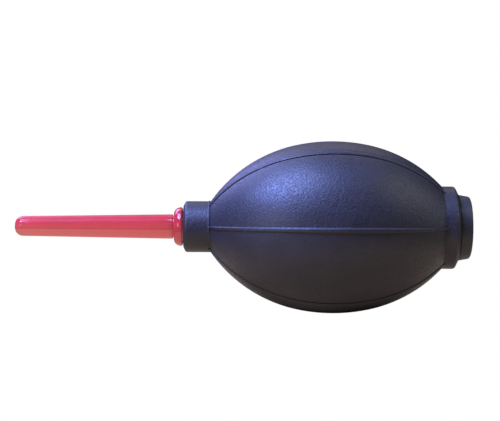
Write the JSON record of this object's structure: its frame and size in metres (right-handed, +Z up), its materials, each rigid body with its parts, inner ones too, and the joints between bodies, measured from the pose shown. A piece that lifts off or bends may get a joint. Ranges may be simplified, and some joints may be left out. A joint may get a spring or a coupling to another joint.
{
  "type": "dust blower bulb",
  "caption": "Hand dust blower: ribbed rubber bulb with a tapered push-in nozzle at the front and an air inlet valve plug at the rear.",
  "frame": {"origin": "on the bulb's axis at its widest section", "axes": "+X along the bulb's axis from the nozzle to the inlet valve, +Z up with the bulb lying down, so that thumb and fingers squeeze it along Z; a rib faces -Y"},
  "size_m": [0.1586, 0.061, 0.06],
  "materials": {
    "black_rubber": "fine moulded grain, satin",
    "red_plastic": "glossy, slightly translucent",
    "black_plastic": "semi-gloss",
    "silicone": "satin, milky",
    "grey_plastic": "satin",
    "filter_foam": "open-cell foam",
    "grille_plastic": "satin"
  },
  "bodies": {
    "bulb": {"bulb_shell": "black_rubber"},
    "thumb_wall": {"thumb_wall": "black_rubber"},
    "finger_wall": {"finger_wall": "black_rubber"},
    "nozzle": {"nozzle": "red_plastic"},
    "rear_plug": {"valve_housing": "black_plastic", "valve_cage": "grey_plastic", "dust_filter": "filter_foam"},
    "valve_disc": {"valve_disc": "silicone"},
    "grille": {"intake_grille": "grille_plastic"}
  },
  "joints": [
    {"name": "thumb_squeeze", "type": "slide", "parent": "bulb", "child": "thumb_wall", "axis": [0, 0, -1], "range_m": [0, 0.012], "stiffness_N_per_m": 700},
    {"name": "finger_squeeze", "type": "slide", "parent": "bulb", "child": "finger_wall", "axis": [0, 0, 1], "range_m": [0, 0.012], "stiffness_N_per_m": 700},
    {"name": "nozzle_pull", "type": "slide", "parent": "bulb", "child": "nozzle", "axis": [-1, 0, 0], "range_m": [0, 0.014]},
    {"name": "rear_plug_pull", "type": "slide", "parent": "bulb", "child": "rear_plug", "axis": [1, 0, 0], "range_m": [0, 0.014]},
    {"name": "valve_disc_lift", "type": "slide", "parent": "rear_plug", "child": "valve_disc", "axis": [-1, 0, 0], "range_m": [0, 0.0011]},
    {"name": "grille_pull", "type": "slide", "parent": "rear_plug", "child": "grille", "axis": [1, 0, 0], "range_m": [0, 0.008]}
  ],
  "couplings": [
    {"joint": "finger_squeeze", "follows": "thumb_squeeze", "ratio": 1}
  ]
}
